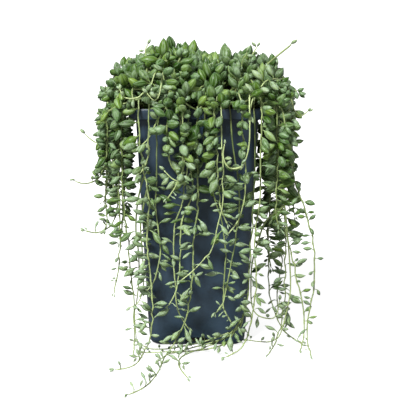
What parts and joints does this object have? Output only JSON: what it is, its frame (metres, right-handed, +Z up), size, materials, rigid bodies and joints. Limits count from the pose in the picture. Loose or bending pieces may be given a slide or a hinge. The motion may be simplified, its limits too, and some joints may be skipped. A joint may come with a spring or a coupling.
{
  "type": "potted trailing succulent",
  "caption": "Trailing string-of-watermelons succulent with plump pointed leaves, arching over the rim of a tall square nursery pot and hanging down its sides.",
  "frame": {"origin": "middle of the pot's underside, on the surface it stands on", "axes": "+Z up; -Y out of the pot's front as pictured; +X to the right of the picture"},
  "size_m": [0.2016, 0.2517, 0.2527],
  "materials": {
    "pot_plastic": "satin moulded plastic, slate blue-black",
    "potting_soil": "coarse dark potting mix",
    "foliage": "waxy satin leaf skin with a faint bloom"
  },
  "bodies": {
    "root": {"pot": "pot_plastic", "soil": "potting_soil", "crown": "foliage", "shoot_peak": "foliage", "shoot_right": "foliage", "stem_back_01": "foliage", "stem_back_02": "foliage", "stem_back_03": "foliage", "stem_back_04": "foliage", "stem_back_05": "foliage", "stem_back_06": "foliage", "stem_front_01": "foliage", "stem_front_02": "foliage", "stem_front_03": "foliage", "stem_front_04": "foliage", "stem_front_05": "foliage", "stem_front_06": "foliage", "stem_front_07": "foliage", "stem_front_08": "foliage", "stem_front_09": "foliage", "stem_front_10": "foliage", "stem_front_11": "foliage", "stem_front_12": "foliage", "stem_front_13": "foliage", "stem_front_14": "foliage", "stem_front_15": "foliage", "stem_front_16": "foliage", "stem_left_01": "foliage", "stem_left_02": "foliage", "stem_left_03": "foliage", "stem_left_04": "foliage", "stem_left_05": "foliage", "stem_left_06": "foliage", "stem_left_07": "foliage", "stem_left_08": "foliage", "stem_left_09": "foliage", "stem_left_10": "foliage", "stem_right_01": "foliage", "stem_right_02": "foliage", "stem_right_03": "foliage", "stem_right_04": "foliage", "stem_right_05": "foliage", "stem_right_06": "foliage", "stem_right_07": "foliage", "stem_right_08": "foliage", "stem_right_09": "foliage", "stem_right_10": "foliage"}
  },
  "joints": []
}
